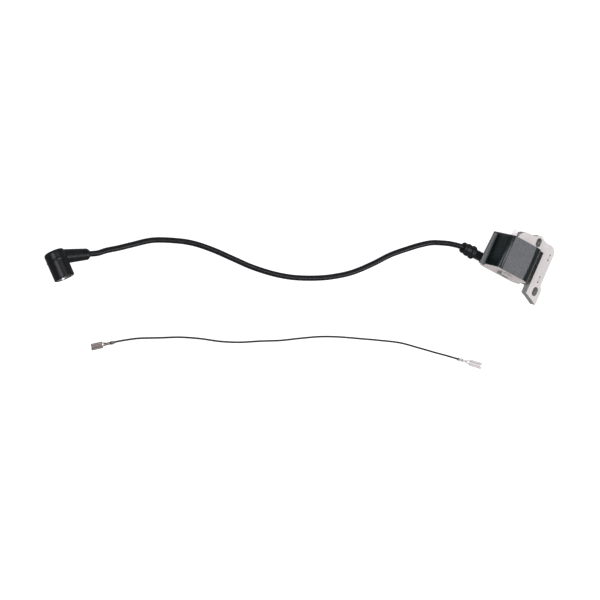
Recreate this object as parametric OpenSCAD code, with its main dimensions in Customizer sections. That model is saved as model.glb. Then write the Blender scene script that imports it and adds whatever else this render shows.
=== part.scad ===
// Ignition coil for a small engine, with its spark plug lead, plug cap and stop lead.
// Millimetres. The origin is the centre of the fixing slot at the pole end, on the core's seat face.
// +X runs away from the plug lead, +Y from the poles to the yoke, +Z up from the seat face.

/* [Core] */
// Thickness of the lamination stack
stack_t = 8.5; // [7:0.5:9]
// Thickness of each outer lamination
sheet_t = 0.5; // [0.35:0.05:0.7]
// Width of the mounting leg
leg_w = 12; // [11:0.5:12.5]
// Width of the leg that the windings sit on
coil_leg_w = 11; // [9:0.5:11]
// Width of the yoke that joins the two legs
yoke_w = 9.7; // [9:0.1:9.7]
// Radius of the flywheel that the poles face
flywheel_r = 100; // [96:1:104]
// Width of each fixing slot
slot_w = 5.8; // [5.2:0.1:6]
// Length of each fixing slot, end to end
slot_l = 8.8; // [8:0.1:9]

/* [Coil case] */
// Wall thickness of the case
wall = 1.6; // [1.2:0.1:1.6]
// Length of the case along its leg, over the yoke
case_l = 33.4; // [33.2:0.1:34]
// Width of the strip along the case's left side
strip_w = 5.2; // [4:0.1:6]
// Thickness of that strip
strip_t = 2; // [1.5:0.1:2]
// How far the potting stands out of the open end
potting_lip = 1.3; // [0.8:0.1:1.5]

/* [Windings] */
// Depth of the primary winding
primary_d = 2; // [1:0.1:2]
// Depth of the secondary winding
secondary_d = 2.7; // [1.5:0.1:2.7]
// Number of winding sections on the secondary bobbin
sections = 6; // [3:1:8]

/* [Plug lead] */
// Diameter of the plug lead
lead_d = 5; // [4.6:0.1:5]
// Diameter of its conductor
lead_core_d = 1.6; // [1.6:0.1:2]
// Diameter of the rubber boot over its ring
boot_d = 12.8; // [11:0.2:12.8]

/* [Plug cap] */
// Outer diameter of the cap's socket
cap_d = 18; // [17:0.5:18]
// Inner diameter of the socket's liner
liner_d = 11.8; // [11:0.2:12]
// Length of the socket from the elbow's centre
socket_l = 19.7; // [18.5:0.1:20]
// Length of the cap's arm from the elbow's centre
arm_l = 31; // [29:0.5:33]

/* [Stop lead] */
// Diameter of the stop lead
wire_d = 1.7; // [1.5:0.1:1.8]
// Diameter of its strands
strand_d = 0.8; // [0.7:0.1:0.9]
// Outer width of each push-on terminal
terminal_w = 6; // [5.8:0.1:6.4]
// Thickness of the terminals' sheet metal
metal_t = 0.4; // [0.3:0.05:0.4]

/* [Hidden] */
$fn = 48;

// Core
leg_x1 = 3.5;
leg_x0 = leg_x1 - leg_w;
ear_x1 = 6.5;
coil_leg_x1 = -32;
coil_leg_x0 = coil_leg_x1 - coil_leg_w;
yoke_y1 = 46.2;
yoke_y0 = yoke_y1 - yoke_w;
yoke_r = 10.8;
slots = [[0, 0], [-18.3, 42.7]];
slot_boss_r = 5.4;
flywheel_c = [-40, -0.1 - flywheel_r];
notch_l = 6.2;
notch_w = 1.4;
notches = [[-0.6, 34.8], [-1.3, 11.8]];
mid_z = stack_t / 2;
coil_x = (coil_leg_x0 + coil_leg_x1) / 2;

// Coil case: its section across the leg, and where its ends lie
floor_z = -12.8;
top_z = 23;
left_x = -59.4;
right_x = -17;
low_right_x = -12;
low_top_z = -0.6;
rail_x = -8.7;
rail_z = 8.2;
ridge_x = -11.4;
groove_z = 1;
strip_rise = 0.3;
strip_lip = 1;
strip_y = [0.8, 32.8];
strip_taper = 2;
panel_z = [0.5, 9];
panel_depth = 0.5;
corner_w = 9.4;
step_z = 9.8;
rim_y = 2.2;
rim_bare = 1.3;
dish_c = [-38, 16];
dish_y = 2.9;
dish_r = 180;
low_end_y = 32;
top_end_y = rim_y + case_l;
rail_end_y = 34.8;
top_left_r = 5;
top_right_r = 11.8;
low_left_r = 8.4;
low_right_r = 5;
rail_r = 1.4;
end_r = 4;

// Coil set, from the leg outwards: half widths and half heights about the leg's centre
gap = 0.1;
bobbin_t = 1;
coil_y0 = 3.5;
coil_y1 = 30;
tube_end_y = 33;
leg_half = [coil_leg_w / 2, stack_t / 2];
tube_in = leg_half + [gap, gap];
tube_out = tube_in + [bobbin_t, bobbin_t];
primary_out = tube_out + [primary_d, primary_d];
flange_out = primary_out + [0.3, 0.3];
sleeve_in = flange_out + [gap, gap];
sleeve_out = sleeve_in + [0.9, 0.9];
secondary_out = sleeve_out + [secondary_d, secondary_d];
rib_out = sleeve_out + [3.2, 3.2];
rib_t = 0.9;
sleeve_y0 = 4;
sleeve_y1 = 29.6;
rib_pitch = (sleeve_y1 - sleeve_y0 - rib_t) / sections;
set_out = rib_out + [gap, gap];
set_y0 = 3.4;
end_wall_y = low_end_y - wall;
link_r = 0.35;

// Circuit board, on edge beside the coil set
board_x = -22.6;
board_t = 1.2;
board_y = [5, 30.3];
board_z = [-6, 14];
parts_x = [-24.4, -18.9];

// Stop tab
tab_x = [-49, -44.2];
tab_t = 0.8;
tab_z = 7.2;
tab_end_y = 43.8;

// Plug lead: its outlet, and its route along the floor to the cap
outlet = [left_x, 7, -6.4];
tower_r = 3.4;
tower_l = 6.1;
tower_root = 4;
tower_floor = 0.8;
spike_r = 0.8;
spike_head_r = 1.9;
spike_head_t = 0.8;
spike_head_x = -56.4;
spike_end_x = -63.5;
spike_tip = 2;
boot_end_x = -85;
lead_floor = floor_z + 2.5;
lead_points = [[outlet[0] - tower_floor, 7, -6.4], [-74, 7, -6.4], [-87, 6.8, -6.4], [-98, 4.6, -7.4],
    [-107, 1.5, -9], [-116, -2.4, -10], [-125, -8.3, lead_floor], [-134, -15.2, lead_floor],
    [-151, -29.6, lead_floor], [-166, -45.9, lead_floor], [-182, -61, lead_floor],
    [-200, -73, lead_floor], [-218, -82, lead_floor], [-238, -89.6, lead_floor],
    [-258, -94.4, lead_floor], [-280, -97.3, lead_floor], [-301, -98.2, lead_floor],
    [-323, -99.2, lead_floor], [-344, -102, lead_floor], [-363, -107.8, lead_floor],
    [-381, -115.6, -10.2], [-397, -126.6, -9.1], [-409, -134.8, -7.1], [-419, -141, -4.9]];

// Plug cap: the elbow's centre, and the directions of its arm and socket
elbow_c = [-460.5, -165, -3.1];
arm_turn = 28.5;
socket_turn = -47.5;
socket_rise = 23.5;
arm_r = 5;
arm_root_r = 6.7;
arm_taper = 2;
back_x = -5.4;
back_r = 2.5;
collar_x = [2.4, 3.3];
collar_r = 0.35;
arm_clear = 0.06;
lead_stop = 8;
lead_ends = [39, 31, 20, lead_stop];
pin_r = 0.6;
pin_end = 13;
post_r = 0.8;
contact_x = [2, 2.8];
contact_r = 3;
seat_r = 4.2;
liner_r = 7;
liner_x = [6.6, 19.3];
spring_r = 2.9;
spring_wire_r = 0.35;
spring_turns = 3;

// Stop lead: its route along the floor, and its terminals' places and directions
wire_floor = floor_z + wire_d / 2;
terminal_z = floor_z + wire_d / 2 + metal_t;
left_end = [-373.3, -209.4, terminal_z];
left_turn = 214;
right_end = [-36.2, -87.9, terminal_z];
right_turn = 8.3;
wire_points = [[-360, -201.2, -11.9], [-351, -196.4, wire_floor], [-334, -189, wire_floor],
    [-316, -181, wire_floor], [-297, -174.5, wire_floor], [-277, -169, wire_floor],
    [-258, -162, wire_floor], [-240, -153.5, wire_floor], [-221, -145, wire_floor],
    [-203, -135.5, wire_floor], [-184, -126, wire_floor], [-165, -118.5, wire_floor],
    [-144, -111.5, wire_floor], [-124, -105, wire_floor], [-102.5, -98.6, wire_floor],
    [-80, -94.8, wire_floor], [-62, -92, wire_floor], [-49, -89.8, -11.9]];

// Terminals, along their own length: two crimps, a neck with a hole, and a box with rolled sides
jacket_crimp = [0, 3.4];
strand_crimp = [4.6, 9];
neck_x = 13;
neck_hole_x = 12.2;
neck_hole_r = 0.9;
box_end_x = 25;
roll_r = 1.05;
left_stretch = 0.84;
right_stretch = 1.12;

// Curves: a smooth path through the route's points, and rings swept along it
function spline(a, b, c, d, t) = 0.5 * (2 * b + (c - a) * t + (2 * a - 5 * b + 4 * c - d) * t * t
    + (3 * b - a - 3 * c + d) * t * t * t);
function point_at(p, i) = p[max(0, min(len(p) - 1, i))];
function smooth(p, steps) = [for (i = [0 : len(p) - 2]) for (k = [0 : steps - 1])
    spline(point_at(p, i - 1), p[i], p[i + 1], point_at(p, i + 2), k / steps), p[len(p) - 1]];
function unit(v) = v / norm(v);
function along(p, i) = unit(point_at(p, i + 1) - point_at(p, i - 1));
function side(t) = unit(cross([0, 0, 1], t));
function ring(p, i, r, sides) = [for (k = [0 : sides - 1])
    let (t = along(p, i), u = side(t), v = cross(t, u), a = 360 * k / sides)
    p[i] + r * (cos(a) * u + sin(a) * v)];

function heading(turn) = [cos(turn), sin(turn), 0];

lead_path = smooth(concat(lead_points,
    [for (x = lead_ends) elbow_c + x * heading(arm_turn)]), 2);
wire_path = smooth(concat([for (x = [3.9, -5]) left_end + x * heading(left_turn)], wire_points,
    [for (x = [-5, 3.9]) right_end + x * heading(right_turn)]), 1);
strand_path = concat([left_end + 9.2 * heading(left_turn)], wire_path,
    [right_end + 9.2 * heading(right_turn)]);

module rod(p, r, sides) {
    last = len(p) - 1;
    rings = [for (i = [0 : last]) each ring(p, i, r, sides)];
    walls = [for (i = [0 : last - 1]) for (k = [0 : sides - 1])
        let (n = (k + 1) % sides)
        [i * sides + k, (i + 1) * sides + k, (i + 1) * sides + n, i * sides + n]];
    caps = [[for (k = [0 : sides - 1]) k], [for (k = [sides - 1 : -1 : 0]) last * sides + k]];
    polyhedron(rings, concat(walls, caps));
}

module pipe(p, r_out, r_in, sides) {
    last = len(p) - 1;
    inner = (last + 1) * sides;
    points = [for (r = [r_out, r_in]) for (i = [0 : last]) each ring(p, i, r, sides)];
    outside = [for (i = [0 : last - 1]) for (k = [0 : sides - 1])
        let (n = (k + 1) % sides)
        [i * sides + k, (i + 1) * sides + k, (i + 1) * sides + n, i * sides + n]];
    inside = [for (f = outside) [for (j = [3 : -1 : 0]) f[j] + inner]];
    ends = [for (e = [0, last]) for (k = [0 : sides - 1])
        let (a = e * sides + k, b = e * sides + (k + 1) % sides)
        e == 0 ? [a, b, b + inner, a + inner] : [b, a, a + inner, b + inner]];
    polyhedron(points, concat(outside, inside, ends));
}

// Shapes shared by several pieces
module prism(y0, y1) {
    translate([0, y1, 0])
        rotate([90, 0, 0])
            linear_extrude(y1 - y0)
                children();
}

// A rectangle with a radius at each corner: top left, top right, bottom left, bottom right
module panel(x0, x1, z0, z1, r) {
    corners = [[x0, z1, 1, -1], [x1, z1, -1, -1], [x0, z0, 1, 1], [x1, z0, -1, 1]];
    difference() {
        translate([x0, z0])
            square([x1 - x0, z1 - z0]);
        for (i = [0 : 3])
            if (r[i] > 0)
                translate([corners[i][0], corners[i][1]])
                    square(2 * r[i], center = true);
    }
    for (i = [0 : 3])
        if (r[i] > 0)
            intersection() {
                translate([corners[i][0] + corners[i][2] * r[i], corners[i][1] + corners[i][3] * r[i]])
                    circle(r[i]);
                translate([x0, z0])
                    square([x1 - x0, z1 - z0]);
            }
}

// The case's section, smaller by inset all round
module dome_section(inset) {
    panel(left_x + inset, right_x - inset, floor_z + inset, top_z - inset,
        [top_left_r - inset, top_right_r - inset, low_left_r - inset, 0]);
    panel(right_x - 2 * low_right_r, low_right_x - inset, floor_z + inset, low_top_z - inset,
        [0, 0, 0, low_right_r - inset]);
}

module above(z) {
    translate([-100, z])
        square([200, 60]);
}

// A rectangular block about the coil leg's axis
module coil_block(half, y0, y1) {
    translate([coil_x - half[0], y0, mid_z - half[1]])
        cube([2 * half[0], y1 - y0, 2 * half[1]]);
}

module coil_ring(outer, inner, y0, y1) {
    difference() {
        coil_block(outer, y0, y1);
        coil_block(inner, y0 - 1, y1 + 1);
    }
}

module slot_outline(c) {
    half = (slot_l - slot_w) / 2;
    for (s = [-1, 1])
        translate([c[0], c[1] + s * half])
            circle(slot_w / 2);
    translate([c[0] - slot_w / 2, c[1] - half])
        square([slot_w, 2 * half]);
}

// What rounding a corner takes off, about the rounding's centre
module spandrel(centre, turn, r) {
    translate(centre)
        rotate(turn)
            difference() {
                square(r + 0.1);
                circle(r);
            }
}

// The laminations' outline: two legs, the yoke, the ear at the pole end and the slot's boss
module core_outline() {
    difference() {
        union() {
            translate([leg_x0, -2])
                square([leg_w, yoke_y0 + 4]);
            polygon([[leg_x0, 8], [leg_x0, -8], [ear_x1 - 0.6, -13], [ear_x1, -8], [ear_x1, 1],
                [ear_x1 - 0.6, 4.2], [ear_x1 - 2.4, 6.5], [leg_x1, 8.5]]);
            polygon([[coil_leg_x0, yoke_y0], [leg_x1, yoke_y0], [leg_x1, yoke_y1], [-9.8, yoke_y1],
                [-14.2, 47.5], [-22.4, 47.5], [-27.6, yoke_y1], [coil_leg_x0, yoke_y1]]);
            translate([coil_leg_x0, -6])
                square([coil_leg_w, yoke_y0 + 8]);
            translate(slots[1] + [0, 1.3])
                circle(slot_boss_r);
        }
        spandrel([leg_x1 - 8, yoke_y1 - 8], 0, 8);
        spandrel([coil_leg_x0 + yoke_r, yoke_y1 - yoke_r], 90, yoke_r);
        translate(flywheel_c)
            circle(flywheel_r, $fn = 180);
        for (c = slots)
            slot_outline(c);
    }
}

module notch_outline() {
    for (c = notches)
        translate(c - [notch_w / 2, notch_l / 2])
            square([notch_w, notch_l]);
}

module lamination_pack() {
    color("silver")
        translate([0, 0, sheet_t])
            linear_extrude(stack_t - 2 * sheet_t)
                core_outline();
}

module front_lamination() {
    color("gainsboro")
        translate([0, 0, stack_t - sheet_t])
            linear_extrude(sheet_t)
                difference() {
                    core_outline();
                    notch_outline();
                }
}

module back_lamination() {
    color("gainsboro")
        linear_extrude(sheet_t)
            difference() {
                core_outline();
                notch_outline();
            }
}

// The strip along the left side: its top slopes up to the wall, and it narrows towards the yoke
module side_strip() {
    intersection() {
        prism(strip_y[0], strip_y[1])
            polygon([[left_x - strip_w, -strip_t], [left_x + 1, -strip_t],
                [left_x + 1, strip_rise], [left_x, strip_rise],
                [left_x - strip_w, strip_lip - strip_t]]);
        translate([0, 0, -strip_t - 1])
            linear_extrude(strip_t + strip_rise + 2)
                polygon([[left_x - strip_w, strip_y[0]], [left_x, strip_y[0]], [left_x, rim_y],
                    [left_x + 1, rim_y], [left_x + 1, strip_y[1]],
                    [left_x - strip_w + strip_taper, strip_y[1]]]);
    }
}

module coil_case() {
    color([0.12, 0.12, 0.13]) {
        side_strip();
        difference() {
            union() {
                prism(rim_y, low_end_y)
                    dome_section(0);
                prism(low_end_y - wall, top_end_y)
                    intersection() {
                        dome_section(0);
                        union() {
                            above(step_z);
                            translate([left_x, floor_z])
                                square([corner_w, step_z - floor_z + 1]);
                        }
                    }
                prism(rim_y, rail_end_y) {
                    panel(right_x - 1, rail_x, low_top_z, groove_z, [0, 0, 0, 0]);
                    panel(right_x - 1, ridge_x, low_top_z, rail_z, [0, rail_r, 0, 0]);
                }
                translate(outlet + [tower_root, 0, 0])
                    rotate([0, -90, 0])
                        cylinder(h = tower_l + tower_root, r = tower_r);
            }
            prism(rim_y - 1, end_wall_y)
                dome_section(wall);
            prism(end_wall_y - 1, top_end_y - wall)
                intersection() {
                    dome_section(wall);
                    above(step_z + wall);
                }
            coil_block(tube_out, end_wall_y - 1, low_end_y + 1);
            translate([tab_x[0], end_wall_y - 1, tab_z - tab_t / 2])
                cube([tab_x[1] - tab_x[0], wall + 2, tab_t]);
            translate([0, 0, floor_z - 1])
                linear_extrude(top_z - floor_z + 2)
                    spandrel([left_x + end_r, top_end_y - end_r], 90, end_r);
            translate([left_x - 1, rim_y - 1, panel_z[0]])
                cube([1 + panel_depth, case_l + 2, panel_z[1] - panel_z[0]]);
            spike(0);
            translate(outlet - [tower_floor, 0, 0])
                rotate([0, -90, 0])
                    cylinder(h = tower_l, r = lead_d / 2);
        }
    }
}

module potting_resin() {
    color([0.82, 0.79, 0.78])
        difference() {
            union() {
                prism(rim_y - potting_lip, rim_y)
                    intersection() {
                        dome_section(0.3);
                        translate([0, -rim_bare])
                            dome_section(0.3);
                    }
                prism(rim_y, end_wall_y)
                    dome_section(wall);
                prism(end_wall_y, top_end_y - wall)
                    intersection() {
                        dome_section(wall);
                        above(step_z + wall);
                    }
            }
            coil_block(leg_half + [0.05, 0.05], 0, set_y0 + 1);
            coil_block(set_out, set_y0, end_wall_y);
            translate([parts_x[0], board_y[0] - 0.1, board_z[0] - 0.1])
                cube([parts_x[1] - parts_x[0], end_wall_y - board_y[0] + 0.1,
                    board_z[1] - board_z[0] + 0.2]);
            translate([coil_x, outlet[1], outlet[2]])
                rotate([0, -90, 0])
                    cylinder(h = coil_x - spike_head_x, r = link_r + 0.05);
            spike(0.05);
            translate([dish_c[0], dish_y - dish_r, dish_c[1]])
                sphere(dish_r, $fn = 96);
        }
}

module primary_bobbin() {
    color([0.85, 0.83, 0.76])
        difference() {
            union() {
                coil_block(tube_out, coil_y0, tube_end_y);
                coil_block(flange_out, coil_y0, coil_y0 + bobbin_t);
                coil_block(flange_out, coil_y1 - bobbin_t, coil_y1);
            }
            coil_block(tube_in, coil_y0 - 1, tube_end_y + 1);
        }
}

module primary_winding() {
    color([0.72, 0.38, 0.2])
        coil_ring(primary_out, tube_out, coil_y0 + bobbin_t, coil_y1 - bobbin_t);
}

module secondary_bobbin() {
    color([0.85, 0.83, 0.76])
        difference() {
            union() {
                coil_block(sleeve_out, sleeve_y0, sleeve_y1);
                for (i = [0 : sections])
                    coil_block(rib_out, sleeve_y0 + i * rib_pitch, sleeve_y0 + i * rib_pitch + rib_t);
            }
            coil_block(sleeve_in, sleeve_y0 - 1, sleeve_y1 + 1);
        }
}

module secondary_winding() {
    color([0.62, 0.3, 0.16])
        for (i = [0 : sections - 1])
            coil_ring(secondary_out, sleeve_out, sleeve_y0 + i * rib_pitch + rib_t,
                sleeve_y0 + (i + 1) * rib_pitch);
}

// The primary winding's two ends, run across to the board
module winding_leads() {
    x0 = coil_x + flange_out[0];
    color([0.72, 0.38, 0.2])
        for (z = [0, 9])
            translate([x0 + gap, sleeve_y1 + 0.4, z])
                rotate([0, 90, 0])
                    cylinder(h = board_x - x0 - gap, r = 0.3, $fn = 16);
}

module circuit_board() {
    color([0.1, 0.35, 0.2])
        translate([board_x, board_y[0], board_z[0]])
            cube([board_t, board_y[1] - board_y[0], board_z[1] - board_z[0]]);
}

module power_transistor() {
    color([0.15, 0.15, 0.16])
        translate([board_x + board_t, 14, -1])
            cube([2.2, 9, 10]);
}

// Two resistors and a capacitor on the board's inner side
module board_components() {
    color([0.75, 0.65, 0.45]) {
        for (z = [-3, 1])
            translate([board_x - 1.6, 8, z])
                cube([1.6, 6, 2]);
        translate([board_x - 1.6, 18, -4])
            cube([1.6, 5, 6]);
    }
}

module stop_tab() {
    half = (tab_x[1] - tab_x[0]) / 2;
    color("whitesmoke")
        translate([tab_x[0] + half, 0, tab_z - tab_t / 2])
            linear_extrude(tab_t)
                difference() {
                    union() {
                        translate([-half, end_wall_y])
                            square([2 * half, tab_end_y - half - end_wall_y]);
                        translate([0, tab_end_y - half])
                            circle(half);
                    }
                    translate([0, tab_end_y - 4.4])
                        circle(0.7);
                }
}

module high_tension_link() {
    start = coil_x - secondary_out[0];
    color([0.72, 0.38, 0.2])
        translate([start, outlet[1], outlet[2]])
            rotate([0, -90, 0])
                cylinder(h = start - spike_head_x - spike_head_t, r = link_r, $fn = 16);
}

// The spike that the lead is pushed on to, larger by grow all round
module spike(grow) {
    shank = spike_head_x - spike_end_x - spike_tip;
    translate([spike_head_x, outlet[1], outlet[2]])
        rotate([0, -90, 0]) {
            translate([0, 0, -spike_head_t - grow])
                cylinder(h = spike_head_t + 2 * grow, r = spike_head_r + grow);
            cylinder(h = shank, r = spike_r + grow);
            translate([0, 0, shank])
                cylinder(h = spike_tip, r1 = spike_r + grow, r2 = 0.1);
        }
}

module lead_spike() {
    color([0.8, 0.66, 0.35])
        spike(0);
}

// Turned outline of the boot: a neck, a wide ring, a bulge and an end ring
module lead_boot() {
    neck_r = 4.35;
    lead_r = lead_d / 2;
    big_r = boot_d / 2;
    bore_end = tower_l + 0.1;
    length = left_x - boot_end_x;
    color([0.1, 0.11, 0.11])
        translate(outlet)
            rotate([0, -90, 0])
                rotate_extrude()
                    polygon([[tower_r, 0], [neck_r, 0], [neck_r, 12.6], [big_r, 12.6], [big_r, 14.4],
                        [5.3, 15.1], [5.1, 16.2], [5.8, 18.2], [5.9, 19.8], [5.4, 21.6], [4.8, 22.8],
                        [5.2, 23.4], [5.2, length - 0.4], [4.8, length], [lead_r, length],
                        [lead_r, bore_end], [tower_r, bore_end]]);
}

module plug_lead_jacket() {
    color([0.08, 0.08, 0.09])
        pipe(lead_path, lead_d / 2, lead_core_d / 2, 10);
}

// The conductor fills the bore between the spike in the coil's outlet and the pin in the cap
module plug_lead_conductor() {
    color([0.72, 0.38, 0.2])
        rod([for (i = [1 : len(lead_path) - 2]) lead_path[i]], lead_core_d / 2 - 0.05, 8);
}

module along_arm(x) {
    translate(elbow_c)
        rotate([0, 90, arm_turn])
            translate([0, 0, x])
                children();
}

module along_socket(x) {
    translate(elbow_c)
        rotate([0, 90 - socket_rise, socket_turn])
            translate([0, 0, x])
                children();
}

// The socket's outline, turned about its length: a closed back with a rounded edge, and a collar
module socket_shape() {
    r = cap_d / 2;
    edge = 0.6;
    rotate_extrude()
        polygon(concat([[0, back_x]],
            [for (a = [-90 : 15 : 0]) [r - back_r + back_r * cos(a), back_x + back_r + back_r * sin(a)]],
            [[r, collar_x[0]], [r + collar_r, collar_x[0]], [r + collar_r, collar_x[1]],
                [r, collar_x[1]], [r, socket_l - edge], [r - edge, socket_l], [0, socket_l]]));
}

module cap_elbow() {
    color([0.09, 0.09, 0.1])
        difference() {
            union() {
                along_socket(0)
                    socket_shape();
                along_arm(0)
                    cylinder(h = arm_l - arm_taper, r1 = arm_root_r, r2 = arm_r);
                along_arm(arm_l - arm_taper)
                    cylinder(h = arm_taper, r1 = arm_r, r2 = arm_r - 1.6);
            }
            along_arm(lead_stop)
                cylinder(h = arm_l, r = lead_d / 2 + arm_clear);
            along_arm(-pin_r)
                cylinder(h = arm_l, r = pin_r + 0.05);
            along_socket(-post_r)
                cylinder(h = contact_x[0] + 1, r = post_r + 0.05);
            along_socket(contact_x[0])
                cylinder(h = socket_l, r = seat_r);
            along_socket(liner_x[0])
                cylinder(h = socket_l, r = liner_r);
        }
}

module cap_liner() {
    color("silver")
        along_socket(liner_x[0])
            difference() {
                cylinder(h = liner_x[1] - liner_x[0], r = liner_r);
                translate([0, 0, -1])
                    cylinder(h = socket_l, r = liner_d / 2);
            }
}

module cap_contact() {
    color([0.8, 0.66, 0.35]) {
        along_arm(-pin_r)
            cylinder(h = pin_end + pin_r, r = pin_r);
        along_socket(-post_r)
            cylinder(h = contact_x[0] + post_r, r = post_r);
        along_socket(contact_x[0])
            cylinder(h = contact_x[1] - contact_x[0], r = contact_r);
    }
}

module cap_spring() {
    steps = 12;
    z0 = contact_x[1] + spring_wire_r;
    rise = (liner_x[0] - spring_wire_r - z0) / (spring_turns * steps);
    color("silver")
        along_socket(0)
            rod([for (i = [0 : spring_turns * steps]) let (a = 360 * i / steps)
                [spring_r * cos(a), spring_r * sin(a), z0 + i * rise]], spring_wire_r, 8);
}

module stop_wire_jacket() {
    color([0.08, 0.08, 0.09])
        pipe(wire_path, wire_d / 2, strand_d / 2 + 0.03, 8);
}

module stop_wire_strands() {
    color([0.72, 0.38, 0.2])
        rod(strand_path, strand_d / 2 - 0.02, 8);
}

// A push-on terminal in its own frame: the wire comes in along +X at the origin, and lengths are scaled
module terminal(stretch) {
    base_z = -wire_d / 2 - metal_t;
    side_y = terminal_w / 2 - roll_r;
    roll_z = base_z + 0.2 + roll_r;
    crimps = [[jacket_crimp, wire_d / 2], [strand_crimp, strand_d / 2]];
    neck = neck_x * stretch;
    box_end = box_end_x * stretch;
    crimp_end = strand_crimp[1] * stretch;
    difference() {
        union() {
            translate([0, 0, base_z])
                linear_extrude(metal_t)
                    difference() {
                        polygon([[0, -1], [crimp_end, -1], [neck, -side_y - 0.2],
                            [box_end, -side_y - 0.2], [box_end, side_y + 0.2],
                            [neck, side_y + 0.2], [crimp_end, 1], [0, 1]]);
                        translate([neck_hole_x * stretch, 0])
                            circle(neck_hole_r);
                    }
            for (c = crimps)
                translate([c[0][0] * stretch, 0, 0])
                    rotate([0, 90, 0])
                        cylinder(h = (c[0][1] - c[0][0]) * stretch, r = c[1] + metal_t);
            for (s = [0, 1])
                mirror([0, s, 0])
                    translate([neck, side_y, roll_z])
                        rotate([90, 0, 90])
                            linear_extrude(box_end - neck)
                                difference() {
                                    circle(roll_r);
                                    circle(roll_r - metal_t);
                                    translate([-roll_r, -roll_r])
                                        square(roll_r);
                                }
        }
        for (c = crimps)
            translate([c[0][0] * stretch - 1, 0, 0])
                rotate([0, 90, 0])
                    cylinder(h = (c[0][1] - c[0][0]) * stretch + 2, r = c[1]);
    }
}

module left_terminal() {
    color([0.55, 0.5, 0.48])
        translate(left_end)
            rotate([0, 0, left_turn])
                terminal(left_stretch);
}

module right_terminal() {
    color("gainsboro")
        translate(right_end)
            rotate([0, 0, right_turn])
                terminal(right_stretch);
}

lamination_pack();
front_lamination();
back_lamination();
coil_case();
potting_resin();
primary_bobbin();
primary_winding();
secondary_bobbin();
secondary_winding();
winding_leads();
circuit_board();
power_transistor();
board_components();
stop_tab();
high_tension_link();
lead_spike();
lead_boot();
plug_lead_jacket();
plug_lead_conductor();
cap_elbow();
cap_liner();
cap_spring();
cap_contact();
stop_wire_jacket();
stop_wire_strands();
left_terminal();
right_terminal();
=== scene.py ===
"""Ignition coil for a small engine: its looks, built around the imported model.

Sizes and places are in millimetres in the part's own frame, and turned into metres as meshes are made.
Those of the camera, the floor and the lights are in metres."""
import math
import random

import bmesh
import bpy
from mathutils import Matrix, Vector


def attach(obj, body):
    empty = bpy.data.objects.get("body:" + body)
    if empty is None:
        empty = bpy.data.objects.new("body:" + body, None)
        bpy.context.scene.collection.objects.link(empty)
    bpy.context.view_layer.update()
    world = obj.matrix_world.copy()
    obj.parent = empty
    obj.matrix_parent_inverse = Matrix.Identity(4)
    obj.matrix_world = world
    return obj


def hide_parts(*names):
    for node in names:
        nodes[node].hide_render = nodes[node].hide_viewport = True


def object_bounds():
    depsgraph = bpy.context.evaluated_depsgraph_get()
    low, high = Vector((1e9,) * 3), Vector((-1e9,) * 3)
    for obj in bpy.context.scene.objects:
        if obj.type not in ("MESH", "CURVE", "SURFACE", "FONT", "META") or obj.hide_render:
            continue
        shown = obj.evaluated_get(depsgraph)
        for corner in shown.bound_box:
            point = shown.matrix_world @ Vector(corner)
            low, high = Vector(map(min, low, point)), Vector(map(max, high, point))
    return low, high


MM = 0.001
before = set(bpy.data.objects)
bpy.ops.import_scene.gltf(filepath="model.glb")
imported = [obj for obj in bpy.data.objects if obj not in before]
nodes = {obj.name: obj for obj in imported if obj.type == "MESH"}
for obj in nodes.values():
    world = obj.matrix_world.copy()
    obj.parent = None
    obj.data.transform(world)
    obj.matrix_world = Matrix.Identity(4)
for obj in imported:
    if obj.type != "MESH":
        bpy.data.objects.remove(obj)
cad_bounds = [list(corner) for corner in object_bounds()]
random.seed(7)


# ---------------------------------------------------------------- camera
LENS = 144
CAMERA_PLACE = (-1.3111, -0.2721, 1.8477)
CAMERA_RIGHT = Vector((0.77292, 0.40297, 0.49012))
CAMERA_FORWARD = Vector((0.50476, 0.07754, -0.85977))


def add_camera():
    """A long lens at the photograph's angle; its place is in metres."""
    data = bpy.data.cameras.new("camera")
    data.lens = LENS
    data.sensor_width = 36
    data.clip_end = 50
    camera = bpy.data.objects.new("camera", data)
    axes = (CAMERA_RIGHT, CAMERA_RIGHT.cross(CAMERA_FORWARD), -CAMERA_FORWARD)
    camera.matrix_world = Matrix.Translation(CAMERA_PLACE) @ Matrix(axes).transposed().to_4x4()
    bpy.context.collection.objects.link(camera)
    bpy.context.scene.camera = camera


add_camera()


# ---------------------------------------------------------------- mesh helpers
def cleaned(mesh, weld=None):
    """The mesh with its faces turned outwards and, if weld is given, with points that close merged."""
    work = bmesh.new()
    work.from_mesh(mesh)
    if weld:
        bmesh.ops.remove_doubles(work, verts=work.verts, dist=weld)
    bmesh.ops.recalc_face_normals(work, faces=work.faces)
    work.to_mesh(mesh)
    work.free()
    return mesh


def evaluated_mesh(holder):
    """What the object's modifiers make of it, as a mesh."""
    made = holder.evaluated_get(bpy.context.evaluated_depsgraph_get())
    return bpy.data.meshes.new_from_object(made)


def linked(name, data):
    """An object that is in the scene but rides on nothing yet."""
    made = bpy.data.objects.new(name, data)
    bpy.context.collection.objects.link(made)
    return made


def add_object(name, mesh, body):
    piece = linked(name, mesh)
    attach(piece, body)
    return piece


def smooth_faces(mesh, angle=35):
    mesh.shade_smooth()
    mesh.set_sharp_from_angle(angle=math.radians(angle))


def mesh_from(name, points, faces, angle=35):
    """A closed mesh in metres from points in millimetres."""
    mesh = bpy.data.meshes.new(name)
    mesh.from_pydata([Vector(p) * MM for p in points], [], faces)
    smooth_faces(cleaned(mesh), angle)
    return mesh


def heading(turn):
    """The level direction that is turned by turn radians from +X."""
    return Vector((math.cos(turn), math.sin(turn), 0))


def arc(cx, cy, r, start, end, steps):
    """Points of an arc, in degrees from start to end."""
    turn = [math.radians(start + (end - start) * i / steps) for i in range(steps + 1)]
    return [(cx + r * math.cos(a), cy + r * math.sin(a)) for a in turn]


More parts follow.
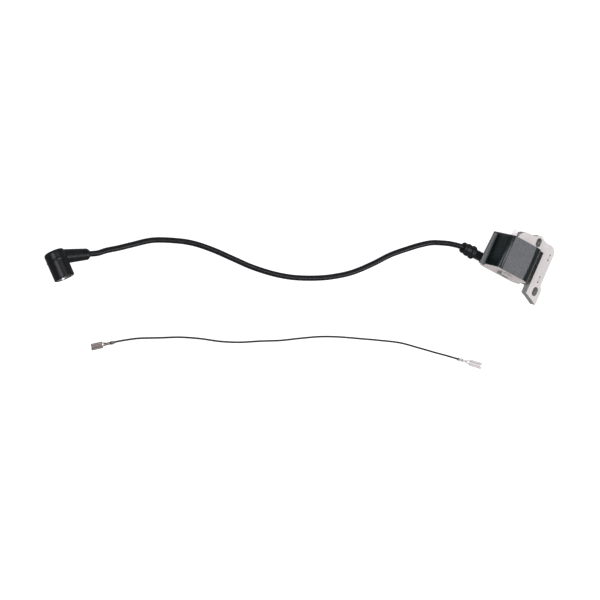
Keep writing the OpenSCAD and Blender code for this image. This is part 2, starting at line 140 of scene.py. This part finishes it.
def spline(a, b, c, d, t):
    """The point at t, 0 to 1, of the smooth curve from b to c."""
    return 0.5 * (2 * b + (c - a) * t + (2 * a - 5 * b + 4 * c - d) * t * t
                  + (3 * b - a - 3 * c + d) * t ** 3)


def smooth_route(points, steps):
    """The curve that the CAD tube follows through the route's points."""
    points = [Vector(p) for p in points]
    last = len(points) - 1
    out = []
    for i in range(last):
        before, after = points[max(0, i - 1)], points[min(last, i + 2)]
        out += [spline(before, points[i], points[i + 1], after, k / steps) for k in range(steps)]
    return out + [points[last]]


def ring_frames(path):
    """Two directions across the path at each of its points, without twist."""
    frames = []
    side = None
    for i, point in enumerate(path):
        along = (path[min(i + 1, len(path) - 1)] - path[max(i - 1, 0)]).normalized()
        if side is None:
            side = Vector((0, 0, 1)).cross(along).normalized()
        side = (side - along * side.dot(along)).normalized()
        frames.append((side, along.cross(side)))
    return frames


def sweep(name, path, outer, inner, sides):
    """A tube along path, or a rod if inner is None.

    outer is a radius, or a function of the distance along the path and the angle around it."""
    frames = ring_frames(path)
    count = len(path)
    points, faces = [], []

    def add_wall(radius):
        """One skin around the path, radius away from it, and its first point's number."""
        base = len(points)
        far = 0.0
        for i, (point, (u, v)) in enumerate(zip(path, frames)):
            far += (point - path[max(i - 1, 0)]).length
            for k in range(sides):
                a = 2 * math.pi * k / sides
                reach = radius(far, a) if callable(radius) else radius
                points.append(point + (u * math.cos(a) + v * math.sin(a)) * reach)
        for i in range(count - 1):
            for k in range(sides):
                n = (k + 1) % sides
                faces.append([base + i * sides + k, base + (i + 1) * sides + k,
                              base + (i + 1) * sides + n, base + i * sides + n])
        return base

    add_wall(outer)
    if inner is None:
        faces.append(list(range(sides)))
        faces.append([(count - 1) * sides + k for k in range(sides)])
        return mesh_from(name, points, faces)
    base = add_wall(inner)
    for row in (0, (count - 1) * sides):
        for k in range(sides):
            n = (k + 1) % sides
            faces.append([row + k, row + n, base + row + n, base + row + k])
    return mesh_from(name, points, faces)


def turned(name, profile, origin, axis, steps, angle):
    """A closed profile of (distance along axis, radius) turned about axis."""
    axis = Vector(axis).normalized()
    u = axis.orthogonal().normalized()
    v = axis.cross(u)
    origin = Vector(origin)
    points, faces = [], []
    count = len(profile)
    for k in range(steps):
        a = 2 * math.pi * k / steps
        out = u * math.cos(a) + v * math.sin(a)
        points += [origin + axis * x + out * r for x, r in profile]
    for k in range(steps):
        n = (k + 1) % steps
        for i in range(count):
            j = (i + 1) % count
            faces.append([k * count + i, k * count + j, n * count + j, n * count + i])
    return mesh_from(name, points, faces, angle)


def sheet(name, loops, thickness, edge):
    """A flat sheet in mm with its middle at z 0: loops are its outline and then its holes, in x and y."""
    curve = bpy.data.curves.new(name, "CURVE")
    curve.dimensions = "2D"
    curve.fill_mode = "BOTH"
    curve.extrude = (thickness / 2 - edge) * MM
    curve.bevel_depth = edge * MM
    curve.bevel_resolution = 1
    curve.offset = -edge * MM
    for loop in loops:
        line = curve.splines.new("POLY")
        line.points.add(len(loop) - 1)
        for point, (x, y) in zip(line.points, loop):
            point.co = (x * MM, y * MM, 0, 1)
        line.use_cyclic_u = True
    holder = linked(name, curve)
    mesh = cleaned(evaluated_mesh(holder), weld=1e-7)
    bpy.data.objects.remove(holder)
    mesh.name = name
    return mesh


def joined(name, meshes_and_places):
    """One mesh from several, each with its own matrix."""
    work = bmesh.new()
    for mesh, place in meshes_and_places:
        part = mesh.copy()
        part.transform(place)
        work.from_mesh(part)
        bpy.data.meshes.remove(part)
    mesh = bpy.data.meshes.new(name)
    work.to_mesh(mesh)
    work.free()
    return mesh


def soften(piece, width):
    """Welds a shape's seams and rounds its edges by width mm, as a moulding's are."""
    weld = piece.modifiers.new("weld", "WELD")
    weld.merge_threshold = 1e-6
    bevel = piece.modifiers.new("round", "BEVEL")
    bevel.width = width * MM
    bevel.segments = 3
    bevel.limit_method = "ANGLE"
    bevel.angle_limit = math.radians(32)
    bevel.miter_outer = "MITER_ARC"
    bevel.harden_normals = True


# ---------------------------------------------------------------- materials
RAMP_STOPS = (0.35, 0.65)
SPECK_RANGE = (0.66, 0.74)
GRAIN_RANGE = (0.3, 0.7)
BUMP_STRENGTH = 0.6
FINISHES = {}


def node_of(tree, kind, **values):
    made = tree.nodes.new(kind)
    for key, value in values.items():
        if hasattr(made, key):
            setattr(made, key, value)
        else:
            made.inputs[key].default_value = value
    return made


def map_range(tree, source, start, end=(0, 1)):
    """The source's values from start's range, mapped to end's."""
    made = tree.nodes.new("ShaderNodeMapRange")
    for name, value in zip(("From Min", "From Max", "To Min", "To Max"), (*start, *end)):
        made.inputs[name].default_value = value
    tree.links.new(source, made.inputs["Value"])
    return made.outputs["Result"]


def finish(name, dark, light, grain, rough, bump, metallic=0.0, specular=0.5, fine=None,
           stretch=(1, 1, 1), speck=None):
    """Adds a finish whose colour, gloss and surface vary with the place on the object.

    grain is the size of the variation in mm, and fine that of the surface texture. rough is the range of
    roughness, and bump the texture's height in mm. stretch is how many times longer the grain is along each
    axis, and speck is a third colour for small spots."""
    material = bpy.data.materials.new(name)
    material.use_nodes = True
    tree = material.node_tree
    shader = tree.nodes["Principled BSDF"]
    shader.inputs["Metallic"].default_value = metallic
    shader.inputs["Specular IOR Level"].default_value = specular
    place = tree.nodes.new("ShaderNodeTexCoord")
    mapping = tree.nodes.new("ShaderNodeMapping")
    mapping.inputs["Scale"].default_value = [1 / s for s in stretch]
    tree.links.new(place.outputs["Object"], mapping.inputs["Vector"])
    broad = node_of(tree, "ShaderNodeTexNoise", Scale=1 / (grain * MM), Detail=5.0, Roughness=0.6)
    tree.links.new(mapping.outputs["Vector"], broad.inputs["Vector"])
    ramp = tree.nodes.new("ShaderNodeValToRGB")
    for stop, position, shade in zip(ramp.color_ramp.elements, RAMP_STOPS, (dark, light)):
        stop.position = position
        stop.color = (*shade, 1)
    tree.links.new(broad.outputs["Fac"], ramp.inputs["Fac"])
    colour = ramp.outputs["Color"]
    small = node_of(tree, "ShaderNodeTexNoise", Scale=1 / ((fine or grain / 8) * MM), Detail=3.0)
    tree.links.new(mapping.outputs["Vector"], small.inputs["Vector"])
    if speck:
        mix = node_of(tree, "ShaderNodeMix", data_type="RGBA")
        tree.links.new(map_range(tree, small.outputs["Fac"], SPECK_RANGE), mix.inputs["Factor"])
        mix_in = [s for s in mix.inputs if s.type == "RGBA"]
        tree.links.new(colour, mix_in[0])
        mix_in[1].default_value = (*speck, 1)
        colour = [s for s in mix.outputs if s.type == "RGBA"][0]
    tree.links.new(colour, shader.inputs["Base Color"])
    gloss = map_range(tree, broad.outputs["Fac"], GRAIN_RANGE, rough)
    tree.links.new(gloss, shader.inputs["Roughness"])
    height = tree.nodes.new("ShaderNodeBump")
    height.inputs["Distance"].default_value = bump * MM
    height.inputs["Strength"].default_value = BUMP_STRENGTH
    tree.links.new(small.outputs["Fac"], height.inputs["Height"])
    tree.links.new(height.outputs["Normal"], shader.inputs["Normal"])
    FINISHES[name] = material


finish("core_stack", dark=(0.16, 0.16, 0.155), light=(0.34, 0.335, 0.325), grain=1.2, rough=(0.4, 0.6),
       bump=0.05, metallic=0.4, fine=0.18, stretch=(1, 1, 6))
finish("core_sheet", dark=(0.36, 0.343, 0.33), light=(0.41, 0.39, 0.376), grain=5.0, rough=(0.45, 0.6),
       bump=0.01, specular=0.12, fine=0.25, stretch=(1, 5, 1), speck=(0.29, 0.275, 0.265))
finish("case_plastic", dark=(0.0025, 0.005, 0.0048), light=(0.005, 0.0095, 0.009), grain=3.0,
       rough=(0.2, 0.29), bump=0.01, specular=0.2, fine=0.35)
finish("potting", dark=(0.50, 0.46, 0.445), light=(0.60, 0.56, 0.545), grain=3.5, rough=(0.4, 0.6),
       bump=0.05, specular=0.3, fine=0.6, speck=(0.42, 0.38, 0.37))
finish("boot_rubber", dark=(0.003, 0.004, 0.004), light=(0.007, 0.0085, 0.0085), grain=2.0,
       rough=(0.36, 0.48), bump=0.02, specular=0.18, fine=0.3)
finish("lead_jacket", dark=(0.003, 0.0035, 0.004), light=(0.006, 0.0065, 0.0072), grain=4.0,
       rough=(0.24, 0.34), bump=0.012, specular=0.15, fine=0.5)
finish("cap_rubber", dark=(0.003, 0.0035, 0.004), light=(0.006, 0.0065, 0.007), grain=2.5,
       rough=(0.24, 0.34), bump=0.012, specular=0.15, fine=0.3)
finish("wire_jacket", dark=(0.006, 0.006, 0.006), light=(0.012, 0.0115, 0.0115), grain=3.0,
       rough=(0.4, 0.55), bump=0.01, specular=0.2, fine=0.3)
finish("liner_metal", dark=(0.20, 0.20, 0.195), light=(0.36, 0.355, 0.35), grain=1.5,
       rough=(0.22, 0.36), bump=0.008, metallic=0.9, fine=0.15)
finish("spring_steel", dark=(0.35, 0.35, 0.35), light=(0.5, 0.5, 0.5), grain=1.0, rough=(0.25, 0.4),
       bump=0.005, metallic=1.0, fine=0.1)
finish("brass_part", dark=(0.48, 0.30, 0.10), light=(0.62, 0.42, 0.16), grain=1.0, rough=(0.25, 0.4),
       bump=0.005, metallic=1.0, fine=0.1)
finish("plated_tab", dark=(0.47, 0.455, 0.44), light=(0.55, 0.535, 0.52), grain=2.0, rough=(0.4, 0.55),
       bump=0.008, specular=0.2, fine=0.2)
finish("dull_terminal", dark=(0.10, 0.082, 0.076), light=(0.19, 0.165, 0.155), grain=1.4,
       rough=(0.4, 0.55), bump=0.01, metallic=0.1, specular=0.2, fine=0.2)
finish("bright_terminal", dark=(0.36, 0.34, 0.335), light=(0.43, 0.405, 0.40), grain=1.4,
       rough=(0.35, 0.5), bump=0.008, metallic=0.1, specular=0.2, fine=0.2)
finish("bare_copper", dark=(0.40, 0.20, 0.10), light=(0.60, 0.34, 0.20), grain=0.8, rough=(0.3, 0.45),
       bump=0.005, metallic=1.0, fine=0.1)
finish("enamelled_wire", dark=(0.30, 0.09, 0.02), light=(0.46, 0.17, 0.05), grain=1.0, rough=(0.2, 0.3),
       bump=0.06, metallic=0.6, fine=0.12, stretch=(6, 1, 6))
finish("bobbin_plastic", dark=(0.60, 0.56, 0.46), light=(0.72, 0.69, 0.58), grain=3.0, rough=(0.4, 0.5),
       bump=0.01, fine=0.4)
finish("board", dark=(0.02, 0.12, 0.05), light=(0.04, 0.19, 0.08), grain=2.0, rough=(0.3, 0.4),
       bump=0.01, fine=0.4)
finish("component_black", dark=(0.015, 0.015, 0.016), light=(0.03, 0.03, 0.03), grain=1.5,
       rough=(0.4, 0.55), bump=0.015, fine=0.2)
finish("component_tan", dark=(0.38, 0.25, 0.11), light=(0.5, 0.35, 0.17), grain=1.5, rough=(0.35, 0.5),
       bump=0.01, fine=0.2)


def dress(piece, slot):
    """Gives a piece the finish of one of the record's material slots."""
    piece.data.materials.clear()
    piece.data.materials.append(FINISHES[slot])


# ---------------------------------------------------------------- plug lead
LEAD_FLOOR = -10.3
ELBOW = Vector((-460.5, -165, -3.1))
ARM = heading(math.radians(28.5))
# How far from the elbow the lead's last points are, along the cap's arm
ARM_STOPS = (39, 31, 20, 8)
LEAD_ROUTE = [(-60.2, 7, -6.4), (-74, 7, -6.4), (-87, 6.8, -6.4), (-98, 4.6, -7.4), (-107, 1.5, -9),
              (-116, -2.4, -10), (-125, -8.3, LEAD_FLOOR), (-134, -15.2, LEAD_FLOOR),
              (-151, -29.6, LEAD_FLOOR), (-166, -45.9, LEAD_FLOOR), (-182, -61, LEAD_FLOOR),
              (-200, -73, LEAD_FLOOR), (-218, -82, LEAD_FLOOR), (-238, -89.6, LEAD_FLOOR),
              (-258, -94.4, LEAD_FLOOR), (-280, -97.3, LEAD_FLOOR), (-301, -98.2, LEAD_FLOOR),
              (-323, -99.2, LEAD_FLOOR), (-344, -102, LEAD_FLOOR), (-363, -107.8, LEAD_FLOOR),
              (-381, -115.6, -10.2), (-397, -126.6, -9.1), (-409, -134.8, -7.1),
              (-419, -141, -4.9)] + [tuple(ELBOW + ARM * x) for x in ARM_STOPS]
LEAD_R = 2.5
LEAD_BORE_R = 0.8
ROUTE_STEPS = 8


def add_plug_lead():
    path = smooth_route(LEAD_ROUTE, ROUTE_STEPS)
    lead = add_object("plug_lead", sweep("plug_lead", path, LEAD_R, LEAD_BORE_R, sides=32), "coil")
    dress(lead, "lead_jacket")
    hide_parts("plug_lead_jacket")
    return lead, path


plug_lead, plug_lead_path = add_plug_lead()

# ---------------------------------------------------------------- stop lead
WIRE_R = 0.85
WIRE_BORE_R = 0.43
STRANDS_R = 0.34
STRANDS_LOBE = 0.045
STRANDS_TWIST = 2.2
STRANDS_FINE = (3.0, 9.4)
FINE_STEPS = 32
WIRE_FLOOR = -11.95
TERMINAL_Z = -11.55
LEFT_END = Vector((-373.3, -209.4, TERMINAL_Z))
LEFT_TURN = math.radians(214)
RIGHT_END = Vector((-36.2, -87.9, TERMINAL_Z))
RIGHT_TURN = math.radians(8.3)

# Along each terminal from its end: where the wire ends inside it, and how far out it stays straight
WIRE_REACH = 3.9
WIRE_OUT = -5
WIRE_ROUTE = ([tuple(LEFT_END + heading(LEFT_TURN) * x) for x in (WIRE_REACH, WIRE_OUT)]
              + [(-360, -201.2, -11.9), (-351, -196.4, WIRE_FLOOR), (-334, -189, WIRE_FLOOR),
                 (-316, -181, WIRE_FLOOR), (-297, -174.5, WIRE_FLOOR), (-277, -169, WIRE_FLOOR),
                 (-258, -162, WIRE_FLOOR), (-240, -153.5, WIRE_FLOOR), (-221, -145, WIRE_FLOOR),
                 (-203, -135.5, WIRE_FLOOR), (-184, -126, WIRE_FLOOR), (-165, -118.5, WIRE_FLOOR),
                 (-144, -111.5, WIRE_FLOOR), (-124, -105, WIRE_FLOOR), (-102.5, -98.6, WIRE_FLOOR),
                 (-80, -94.8, WIRE_FLOOR), (-62, -92, WIRE_FLOOR), (-49, -89.8, -11.9)]
              + [tuple(RIGHT_END + heading(RIGHT_TURN) * x) for x in (WIRE_OUT, WIRE_REACH)])


def add_stop_wire():
    path = smooth_route(WIRE_ROUTE, ROUTE_STEPS)
    mesh = sweep("stop_wire", path, WIRE_R, WIRE_BORE_R, sides=20)
    jacket = add_object("stop_wire", mesh, "stop_lead")
    dress(jacket, "wire_jacket")
    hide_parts("stop_wire_jacket")
    return jacket, path


stop_wire, stop_wire_path = add_stop_wire()


def add_strands():
    """Twisted strands, six around one, drawn finely where they show between the crimps."""
    left, right = heading(LEFT_TURN), heading(RIGHT_TURN)
    start, end = STRANDS_FINE
    reach = [start + (end - start) * i / FINE_STEPS for i in range(FINE_STEPS + 1)]
    fine_left = [LEFT_END + left * x for x in reversed(reach)]
    fine_right = [RIGHT_END + right * x for x in reach]
    middle = stop_wire_path[ROUTE_STEPS:-ROUTE_STEPS]

    def lobes(far, a):
        return STRANDS_R + STRANDS_LOBE * math.cos(6 * a + far * STRANDS_TWIST)

    mesh = sweep("stop_wire_bundle", fine_left + middle + fine_right, lobes, None, sides=36)
    bundle = add_object("stop_wire_bundle", mesh, "stop_lead")
    dress(bundle, "bare_copper")
    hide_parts("stop_wire_strands")
    return bundle


strand_bundle = add_strands()


# ---------------------------------------------------------------- push-on terminals
def resample(line, count):
    """count points spread evenly along a polyline."""
    line = [Vector(p) for p in line]
    far = [0.0]
    for a, b in zip(line, line[1:]):
        far.append(far[-1] + (b - a).length)
    out = []
    for i in range(count):
        want = far[-1] * i / (count - 1)
        j = max(k for k in range(len(line) - 1) if far[k] <= want + 1e-9)
        span = far[j + 1] - far[j]
        out.append(line[j].lerp(line[j + 1], (want - far[j]) / span))
    return out


def mirrored(half):
    """A whole section from its right half, given from the middle outwards."""
    return [(-y, z) for y, z in reversed(half)] + [p for p in half if p[0] > 0]


BASE_Z = -1.05
JACKET_CRIMP = mirrored([(0, BASE_Z)] + arc(0, 0.35, 1.4, -80, 60, 12) + [(0.2, 1.35)])
OPEN_CHANNEL = mirrored([(0, BASE_Z)] + arc(0, 0.3, 1.25, -80, -10, 6) + [(1.26, 0.5)])
STRAND_CRIMP = mirrored([(0, BASE_Z)] + arc(0, 0.1, 1.05, -80, 35, 10)
                        + arc(0.45, 0.42, 0.42, 40, 190, 6))
NECK = mirrored([(0, BASE_Z), (1.2, BASE_Z), (1.45, BASE_Z + 0.12), (1.55, BASE_Z + 0.45)])
BOX = mirrored([(0, BASE_Z), (2.0, BASE_Z)] + arc(1.95, -0.1, 0.85, -90, 90, 12)
               + arc(1.85, 0.05, 0.7, 95, 195, 8))
MOUTH = mirrored([(0, BASE_Z), (2.05, BASE_Z)] + arc(2.0, -0.08, 0.9, -90, 90, 12)
                 + arc(1.95, 0.15, 0.68, 95, 185, 8))
STATIONS = [(0.0, JACKET_CRIMP), (0.3, JACKET_CRIMP), (3.2, JACKET_CRIMP), (3.7, OPEN_CHANNEL),
            (4.3, OPEN_CHANNEL), (4.7, STRAND_CRIMP), (8.8, STRAND_CRIMP), (9.5, OPEN_CHANNEL),
            (10.4, NECK), (12.2, NECK), (13.2, BOX), (24.2, BOX), (25.0, MOUTH)]
STATION_STEP = 0.25
LEFT_STRETCH = 0.84
RIGHT_STRETCH = 1.12
ACROSS = 61
METAL = 0.34
NECK_HOLE = (12, 0.85)


def section_at(x):
    """The folded section at x along a terminal, eased from one station's to the next."""
    for (x0, a), (x1, b) in zip(STATIONS, STATIONS[1:]):
        if x <= x1:
            t = (x - x0) / (x1 - x0)
            t = t * t * (3 - 2 * t)
            return [p.lerp(q, t) for p, q in zip(resample(a, ACROSS), resample(b, ACROSS))]
    return resample(STATIONS[-1][1], ACROSS)


def terminal_mesh(name, stretch):
    """Sheet metal folded along its length: jacket crimp, strand crimp, neck with a hole, and rolled box."""
    stations = [i * STATION_STEP for i in range(round(STATIONS[-1][0] / STATION_STEP) + 1)]
    rows = [section_at(x) for x in stations]
    work = bmesh.new()
    grid = []
    for x, row in zip(stations, rows):
        grid.append([work.verts.new(Vector((x * stretch, p[0], p[1])) * MM) for p in row])
    for i in range(len(grid) - 1):
        for k in range(ACROSS - 1):
            work.faces.new([grid[i][k], grid[i + 1][k], grid[i + 1][k + 1], grid[i][k + 1]])
    bmesh.ops.recalc_face_normals(work, faces=work.faces)
    mesh = bpy.data.meshes.new(name)
    work.to_mesh(mesh)
    work.free()
    return mesh


def cutter(place, radius, length):
    """An upright round tool that a hole is cut with."""
    mesh = bpy.data.meshes.new("cutter")
    work = bmesh.new()
    bmesh.ops.create_cone(work, cap_ends=True, segments=40, radius1=radius * MM, radius2=radius * MM,
                          depth=length * MM)
    work.to_mesh(mesh)
    work.free()
    tool = linked("cutter", mesh)
    tool.location = Vector(place) * MM
    return tool


def add_terminal(name, node, slot, end, turn, stretch):
    holder = linked(name, terminal_mesh(name, stretch))
    thick = holder.modifiers.new("metal", "SOLIDIFY")
    thick.thickness = METAL * MM
    thick.offset = 0
    thick.use_even_offset = False
    hole_x, hole_r = NECK_HOLE
    tool = cutter((hole_x * stretch, 0, 0), hole_r, 6)
    cut = holder.modifiers.new("hole", "BOOLEAN")
    cut.operation = "DIFFERENCE"
    cut.object = tool
    cut.solver = "EXACT"
    mesh = evaluated_mesh(holder)
    for extra in (holder, tool):
        bpy.data.objects.remove(extra)
    mesh.transform(Matrix.Translation(end * MM) @ Matrix.Rotation(turn, 4, "Z"))
    smooth_faces(mesh, 40)
    piece = add_object(name, mesh, "stop_lead")
    dress(piece, slot)
    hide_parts(node)
    return piece


left_terminal = add_terminal("left_push_on", "left_terminal", "dull_terminal", LEFT_END, LEFT_TURN,
                             LEFT_STRETCH)
right_terminal = add_terminal("right_push_on", "right_terminal", "bright_terminal", RIGHT_END, RIGHT_TURN,
                              RIGHT_STRETCH)


# ---------------------------------------------------------------- plug cap
CAP_VOXEL = 0.3
CAP_RELAX = 24


def add_cap():
    """Moulded rubber: the elbow's solid with its corners blended together."""
    source = nodes["cap_elbow"]
    holder = linked("cap_moulding", source.data.copy())
    work = bmesh.new()
    work.from_mesh(holder.data)
    bmesh.ops.remove_doubles(work, verts=work.verts, dist=1e-6)
    work.to_mesh(holder.data)
    work.free()
    remesh = holder.modifiers.new("skin", "REMESH")
    remesh.mode = "VOXEL"
    remesh.voxel_size = CAP_VOXEL * MM
    remesh.use_smooth_shade = True
    relax = holder.modifiers.new("relax", "SMOOTH")
    relax.factor = 0.5
    relax.iterations = CAP_RELAX
    mesh = evaluated_mesh(holder)
    bpy.data.objects.remove(holder)
    mesh.shade_smooth()
    cap = add_object("cap_moulding", mesh, "plug_cap")
    dress(cap, "cap_rubber")
    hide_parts("cap_elbow")
    return cap


plug_cap = add_cap()

# ---------------------------------------------------------------- boot at the coil
BOOT_START = (-59.4, 7, -6.4)


def add_boot():
    """The coil end's rubber boot: neck, ring, bulge and end lip, with the lead's bore."""
    profile = [(0, 3.42), (0, 4.2), (0.3, 4.35), (12.2, 4.35), (12.5, 4.5), (12.6, 6.2), (12.8, 6.38),
               (14.1, 6.38), (14.4, 6.2), (14.8, 5.45), (15.5, 5.15), (16.4, 5.25), (17.6, 5.65),
               (18.8, 5.9), (19.8, 5.88), (20.8, 5.55), (21.8, 5.1), (22.6, 4.85), (23.1, 4.95),
               (23.5, 5.2), (24.9, 5.2), (25.3, 5.05), (25.6, 4.6), (25.6, 2.75), (25.3, 2.5),
               (6.2, 2.5), (6.2, 3.42)]
    mesh = turned("boot", profile, BOOT_START, (-1, 0, 0), steps=96, angle=50)
    boot = add_object("boot", mesh, "coil")
    dress(boot, "boot_rubber")
    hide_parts("lead_boot")


add_boot()

# ---------------------------------------------------------------- laminated core
SHEET = 0.5
SHEETS = 17
STACK = SHEET * SHEETS
SHEET_SLIP = 0.035
FLYWHEEL = (-40, -100.1, 100)
SLOTS = [(0, 0), (-18.3, 42.7)]
SLOT_HALF, SLOT_R = 1.5, 2.9
MARKS = [(-0.6, 34.8), (-1.3, 11.8)]
MARK_END = (2.6, 0.75)
MARK_LINE = (1.4, 0.16)


def wheel_y(x):
    """The flywheel's circle, which the pole faces follow."""
    cx, cy, r = FLYWHEEL
    return cy + math.sqrt(r * r - (x - cx) ** 2)


def wheel_points(x0, x1, steps):
    return [(x0 + (x1 - x0) * i / steps, wheel_y(x0 + (x1 - x0) * i / steps)) for i in range(steps + 1)]


def core_outline():
    """A C of fixing leg, yoke with its slotted boss, and coil leg, with both poles on the circle."""
    return ([(6.5, -8), (6.5, 1), (5.9, 4.2), (4.1, 6.5), (3.5, 8.5)]
            + arc(-4.5, 38.2, 8, 0, 90, 16) + [(-9.8, 46.2), (-14.2, 47.5)]
            + arc(-18.3, 44.0, 5.4, 42, 138, 18) + [(-22.4, 47.5), (-27.6, 46.2)]
            + arc(-32.2, 35.4, 10.8, 90, 180, 20) + wheel_points(-43, -32, 8)
            + [(-32, 36.5), (-8.5, 36.5)] + wheel_points(-8.5, 6.1, 12))


def long_hole(x, y, half, r, steps):
    """A slot along y with round ends, whose centres are half away from its middle."""
    return arc(x, y + half, r, 0, 180, steps) + arc(x, y - half, r, 180, 360, steps)


def mark_ends(x, y):
    """The two round ends of a pressed interlock mark."""
    half, r = MARK_END
    return [arc(x, y + side * half, r, 0, 345, 23) for side in (-1, 1)]


def mark_line(x, y):
    """The faint line between an interlock mark's ends."""
    return long_hole(x, y, *MARK_LINE, 6)


def add_core():
    outline = core_outline()
    holes = [long_hole(*c, SLOT_HALF, SLOT_R, 20) for c in SLOTS]
    holes += [end for c in MARKS for end in mark_ends(*c)]
    inner = sheet("core_sheet", [outline] + holes, SHEET, edge=0.045)
    outer = sheet("face_sheet", [outline] + holes + [mark_line(*c) for c in MARKS], SHEET, edge=0.05)
    places = []
    for i in range(1, SHEETS - 1):
        slip_x, slip_y = random.uniform(-SHEET_SLIP, SHEET_SLIP), random.uniform(-SHEET_SLIP, SHEET_SLIP)
        places.append((inner, Matrix.Translation(Vector((slip_x, slip_y, SHEET * (i + 0.5))) * MM)))
    stack = add_object("core_stack", joined("core_stack", places), "coil")
    dress(stack, "core_stack")
    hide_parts("lamination_pack")
    for name, node, z in (("front_sheet", "front_lamination", STACK - SHEET / 2),
                          ("back_sheet", "back_lamination", SHEET / 2)):
        place = Matrix.Translation((0, 0, z * MM))
        face = add_object(name, joined(name, [(outer, place)]), "coil")
        dress(face, "core_sheet")
        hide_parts(node)


add_core()

# ---------------------------------------------------------------- what CAD already shapes
# Each node's finish and the width in mm that its edges are rounded by
CARRIED = {
    "coil_case": ("case_plastic", 0.15), "potting_resin": ("potting", 0.3),
    "stop_tab": ("plated_tab", 0.08), "cap_liner": ("liner_metal", 0.15),
    "cap_spring": ("spring_steel", 0), "cap_contact": ("brass_part", 0.05),
    "lead_spike": ("brass_part", 0.03), "primary_bobbin": ("bobbin_plastic", 0.1),
    "primary_winding": ("enamelled_wire", 0.1), "secondary_bobbin": ("bobbin_plastic", 0.1),
    "secondary_winding": ("enamelled_wire", 0.1), "winding_leads": ("enamelled_wire", 0),
    "circuit_board": ("board", 0.05), "power_transistor": ("component_black", 0.15),
    "board_components": ("component_tan", 0.15), "high_tension_link": ("enamelled_wire", 0),
    "plug_lead_conductor": ("bare_copper", 0),
}
for node, (slot, edge) in CARRIED.items():
    dress(nodes[node], slot)
    if edge:
        soften(nodes[node], edge)


# ---------------------------------------------------------------- floor and lights
FLOOR_HALF = 4.0
FLOOR_GAP = 0.0001
WORLD_STRENGTH = 0.36
MIDDLE = (-0.2, -0.06, 0)
COIL = (-0.04, 0.02, 0.02)
CAP = (-0.46, -0.165, 0)
# Name, what it faces, from which direction, how far off, width, height, radiance and colour, in metres
SOFTBOXES = [
    ("mirror_box", COIL, (0.562, 0.12, 0.817), 2.4, 1.0, 0.75, 11, (1, 0.975, 1.05)),
    ("cap_box", CAP, (-0.75, -0.09, 0.66), 2.4, 1.1, 1.3, 7.5, (1, 0.96, 1.08)),
    ("overhead_box", MIDDLE, (0, 0.08, 1), 2.6, 1.0, 1.0, 16, (1, 0.985, 1.02)),
    ("back_box", MIDDLE, (-0.35, 0.5, 1), 2.6, 1.6, 1.6, 1.5, (1, 1, 1)),
]


def add_floor():
    """A plain sheet of pale paper under the object."""
    mesh = bpy.data.meshes.new("floor")
    half = FLOOR_HALF
    z = cad_bounds[0][2] - FLOOR_GAP
    corners = [(-half, -half, z), (half, -half, z), (half, half, z), (-half, half, z)]
    mesh.from_pydata(corners, [], [[0, 1, 2, 3]])
    floor = linked("floor", mesh)
    paper = bpy.data.materials.new("paper")
    paper.use_nodes = True
    shader = paper.node_tree.nodes["Principled BSDF"]
    shader.inputs["Base Color"].default_value = (0.25, 0.25, 0.25, 1)
    shader.inputs["Emission Color"].default_value = (1, 1, 1, 1)
    shader.inputs["Emission Strength"].default_value = 0.92
    shader.inputs["Roughness"].default_value = 0.9
    shader.inputs["Specular IOR Level"].default_value = 0.1
    mesh.materials.append(paper)
    floor.visible_glossy = False


def add_softbox(name, aim, direction, distance, width, height, radiance, colour):
    """An area light that faces aim from that direction and has that radiance."""
    data = bpy.data.lights.new(name, "AREA")
    data.shape = "RECTANGLE"
    data.size = width
    data.size_y = height
    data.energy = radiance * math.pi * width * height
    data.color = colour
    light = linked(name, data)
    direction = Vector(direction).normalized()
    light.location = Vector(aim) + direction * distance
    light.rotation_euler = direction.to_track_quat("Z", "Y").to_euler()


def add_lights():
    for softbox in SOFTBOXES:
        add_softbox(*softbox)
    world = bpy.data.worlds.new("studio")
    world.use_nodes = True
    background = world.node_tree.nodes["Background"]
    background.inputs["Color"].default_value = (1, 1, 1, 1)
    background.inputs["Strength"].default_value = WORLD_STRENGTH
    bpy.context.scene.world = world
    bpy.context.scene.view_settings.view_transform = "Standard"


add_floor()
add_lights()
